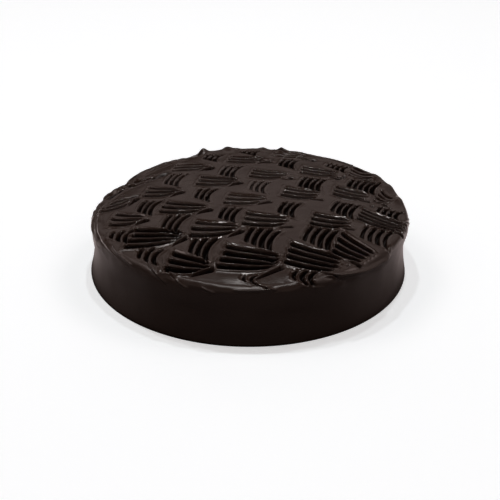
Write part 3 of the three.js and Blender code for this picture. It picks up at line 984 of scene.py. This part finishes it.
def floor_sheet():
    """One square face, corner to corner at plus and minus its half width."""
    mesh = bpy.data.meshes.new("floor")
    corners = ((-1, -1), (1, -1), (1, 1), (-1, 1))
    places = [(right * FLOOR_HALF, back * FLOOR_HALF, -FLOOR_DROP) for right, back in corners]
    mesh.from_pydata(places, [], [(0, 1, 2, 3)])
    return mesh


def spark_light(name, place, power):
    """A small disc lamp turned to the cake. It puts the sparks on beads and fins."""
    light = bpy.data.lights.new(name, "AREA")
    light.shape, light.size, light.energy = "DISK", SPARK_WIDTH, power
    lamp = bpy.data.objects.new(name, light)
    lamp.location = place
    lamp.rotation_euler = (-Vector(place)).to_track_quat("-Z", "Y").to_euler()
    bpy.context.scene.collection.objects.link(lamp)


def studio_sky(stage):
    """World light of soft boxes in an almost dark room: dim cards behind and in front, a low strip and
    a high box over each shoulder and a box at each side.

    The azimuth is the arc tangent of |X| over Y, and the elevation the arc sine of Z.
    """
    world = bpy.data.worlds.new("studio_sky")
    bpy.context.scene.world = world
    world.use_nodes = True
    tree = world.node_tree
    tree.nodes.clear()
    coordinates = add_node(tree, "ShaderNodeTexCoord").outputs["Generated"]
    way = add_node(tree, "ShaderNodeSeparateXYZ", None, {"Vector": coordinates}).outputs
    aside = add_node(tree, "ShaderNodeMath", {"operation": "ABSOLUTE"}, {0: way["X"]}).outputs["Value"]
    azimuth = add_node(
        tree, "ShaderNodeMath", {"operation": "ARCTAN2"}, {0: aside, 1: way["Y"]}
    ).outputs["Value"]
    azimuth = add_node(tree, "ShaderNodeMath", {"operation": "DEGREES"}, {0: azimuth}).outputs["Value"]
    elevation = add_node(tree, "ShaderNodeMath", {"operation": "ARCSINE"}, {0: way["Z"]}).outputs["Value"]
    elevation = add_node(tree, "ShaderNodeMath", {"operation": "DEGREES"}, {0: elevation}).outputs["Value"]
    light = stage.room
    for setting, round_reach, up_reach in SKY_BOXES:
        in_azimuth = soft_window(tree, azimuth, *round_reach, SKY_FADE_ROUND)
        in_elevation = soft_window(tree, elevation, *up_reach, SKY_FADE_UP)
        box = add_node(tree, "ShaderNodeMath", TIMES, {0: in_azimuth, 1: in_elevation}).outputs["Value"]
        light = add_node(
            tree, "ShaderNodeMath", TIMES_PLUS, {0: box, 1: getattr(stage, setting), 2: light}
        ).outputs["Value"]
    sky = add_node(tree, "ShaderNodeBackground", None, {"Color": SKY_TINT, "Strength": light})
    add_node(tree, "ShaderNodeOutputWorld", None, {"Surface": sky.outputs["Background"]})


def set_camera():
    """A long lens looking down from the front, with no turn aside, then rolled about its own axis."""
    back = Vector((0, -math.cos(CAMERA_DOWN), math.sin(CAMERA_DOWN)))
    right, up = Vector((1, 0, 0)), Vector((0, math.sin(CAMERA_DOWN), math.cos(CAMERA_DOWN)))
    rolled_right = right * math.cos(CAMERA_ROLL) + up * math.sin(CAMERA_ROLL)
    rolled_up = up * math.cos(CAMERA_ROLL) - right * math.sin(CAMERA_ROLL)
    camera = bpy.data.cameras.new("camera")
    camera.sensor_width = SENSOR_WIDTH
    camera.lens = FOCAL_PIXELS / FRAME_PIXELS * SENSOR_WIDTH
    camera.clip_start, camera.clip_end = NEAREST, FARTHEST
    body = bpy.data.objects.new("camera", camera)
    turn = Matrix((rolled_right, rolled_up, back)).transposed().to_4x4()
    body.matrix_world = Matrix.Translation(Vector(CAMERA_PLACE)) @ turn
    bpy.context.scene.collection.objects.link(body)
    bpy.context.scene.camera = body


# ---- Operators ----


class TORTE_OT_ice_cake(bpy.types.Operator):
    """Build the iced cake with its lip and its combed top"""

    bl_idname = "torte.ice_cake"
    bl_label = "Ice the cake"

    def execute(self, context):
        scene = context.scene
        mesh = icing_mesh("combed_icing", scene.torte_shape, scene.torte_comb)
        piece = show("combed_icing", mesh, chocolate_icing(scene.torte_look))
        thinned(piece, KEPT_SHARE)
        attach(piece, "root")
        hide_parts("iced_cake")
        return {"FINISHED"}


class TORTE_OT_set_stage(bpy.types.Operator):
    """Lay the pale floor, hang the lights and place the camera"""

    bl_idname = "torte.set_stage"
    bl_label = "Set the stage"

    def execute(self, context):
        stage = context.scene.torte_stage
        floor = show("floor", floor_sheet(), pale_floor(stage))
        studio_sky(stage)
        for name, place in SPARK_PLACES.items():
            spark_light(name, place, stage.sparks)
        set_camera()
        context.scene.view_settings.view_transform = "Standard"
        return {"FINISHED"}


class TORTE_PT_sidebar(bpy.types.Panel):
    """Shows the torte's settings and its stage's, each with its button"""

    bl_idname = "TORTE_PT_sidebar"
    bl_label = "Torte"
    bl_space_type = "VIEW_3D"
    bl_region_type = "UI"
    bl_category = "Torte"

    def draw(self, context):
        scene, layout = context.scene, self.layout
        for group in ("torte_shape", "torte_comb", "torte_look"):
            settings = getattr(scene, group)
            for name in settings.__annotations__:
                layout.prop(settings, name)
        layout.operator(TORTE_OT_ice_cake.bl_idname)
        for name in scene.torte_stage.__annotations__:
            layout.prop(scene.torte_stage, name)
        layout.operator(TORTE_OT_set_stage.bl_idname)


GROUPS = {
    "torte_shape": TorteShape,
    "torte_comb": CombSettings,
    "torte_look": IcingLook,
    "torte_stage": StageSettings,
}
CLASSES = (*GROUPS.values(), TORTE_OT_ice_cake, TORTE_OT_set_stage, TORTE_PT_sidebar)


def register():
    """Adds the classes, and the settings to each scene."""
    for cls in CLASSES:
        bpy.utils.register_class(cls)
    for name, group in GROUPS.items():
        setattr(bpy.types.Scene, name, PointerProperty(type=group))


def unregister():
    """Takes them away again."""
    for name in GROUPS:
        delattr(bpy.types.Scene, name)
    for cls in reversed(CLASSES):
        bpy.utils.unregister_class(cls)


def main():
    """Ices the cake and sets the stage."""
    register()
    bpy.ops.torte.ice_cake()
    bpy.ops.torte.set_stage()


if __name__ == "__main__":
    main()
